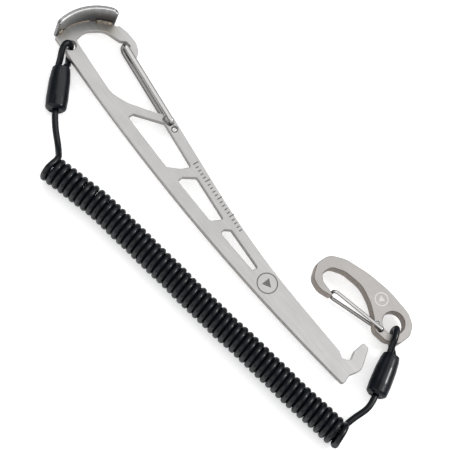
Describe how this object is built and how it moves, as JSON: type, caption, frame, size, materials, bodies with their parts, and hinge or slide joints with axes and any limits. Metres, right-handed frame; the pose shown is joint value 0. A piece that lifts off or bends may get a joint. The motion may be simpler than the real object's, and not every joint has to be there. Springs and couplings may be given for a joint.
{
  "type": "climbing nut key with coiled leash",
  "caption": "Flat steel nut key with hook, striking pad and wire-gate clip opening, tethered by a coiled leash to a small wire-gate accessory carabiner.",
  "frame": {"origin": "centre of the leash eye in the key's head, on the mid-plane of the key plate", "axes": "+X along the key's blade from the leash eye towards the hook, +Y towards the side of the wire-gate clip opening, +Z normal to the plate on the side where the striking pad stands"},
  "size_m": [0.2242, 0.0916, 0.0194],
  "materials": {
    "key_steel": "tumbled, fine scratches",
    "pad_steel": "polished rim",
    "weld_steel": "heat tinted bead",
    "gate_wire": "drawn, bright",
    "leash_cord": "gloss",
    "sleeve": "satin",
    "ferrule": "crimped",
    "carabiner_alloy": "satin anodised warm grey"
  },
  "bodies": {
    "key": {"key_plate": "key_steel", "striking_pad": "pad_steel", "pad_welds": "weld_steel", "eye_loop_cord": "leash_cord"},
    "key_gate": {"key_gate_wire": "gate_wire"},
    "leash": {"key_end_sleeve": "sleeve", "key_end_ferrule": "ferrule", "key_end_cord_tail": "leash_cord", "key_end_cord_lead": "leash_cord", "coil_key_half": "leash_cord"},
    "coil_end": {"coil_clip_half": "leash_cord", "coil_last_turn": "leash_cord"},
    "tail": {"clip_end_lead": "leash_cord", "clip_end_ferrule": "ferrule", "clip_end_sleeve": "sleeve", "clip_eye_loop": "leash_cord"},
    "carabiner": {"carabiner_body": "carabiner_alloy"},
    "carabiner_gate": {"carabiner_gate_wire": "gate_wire"}
  },
  "joints": [
    {"name": "key_gate_hinge", "type": "hinge", "parent": "key", "child": "key_gate", "pos_m": [0.0594, 0.01225, 0], "axis": [0, 0, 1], "range_deg": [0, 18], "stiffness_Nm_per_rad": 0.05},
    {"name": "leash_lift", "type": "hinge", "parent": "key", "child": "leash", "pos_m": [0.00555, -0.01005, 0.0003], "axis": [-0.7308, -0.6826, 0], "range_deg": [0, 45]},
    {"name": "coil_stretch", "type": "slide", "parent": "leash", "child": "coil_end", "axis": [0.9921, 0.1257, 0], "range_m": [0, 0.8]},
    {"name": "tail_swing", "type": "hinge", "parent": "coil_end", "child": "tail", "pos_m": [0.2106, -0.0169, -0.0009], "axis": [0, 0, -1], "range_deg": [-3, 100]},
    {"name": "clip_swing", "type": "hinge", "parent": "tail", "child": "carabiner", "pos_m": [0.19275, 0.0316, 0.001], "axis": [0, 0, -1], "range_deg": [-5, 60]},
    {"name": "clip_gate_hinge", "type": "hinge", "parent": "carabiner", "child": "carabiner_gate", "pos_m": [0.1854, 0.0261, 0.001], "axis": [0, 0, -1], "range_deg": [0, 18], "stiffness_Nm_per_rad": 0.02}
  ]
}
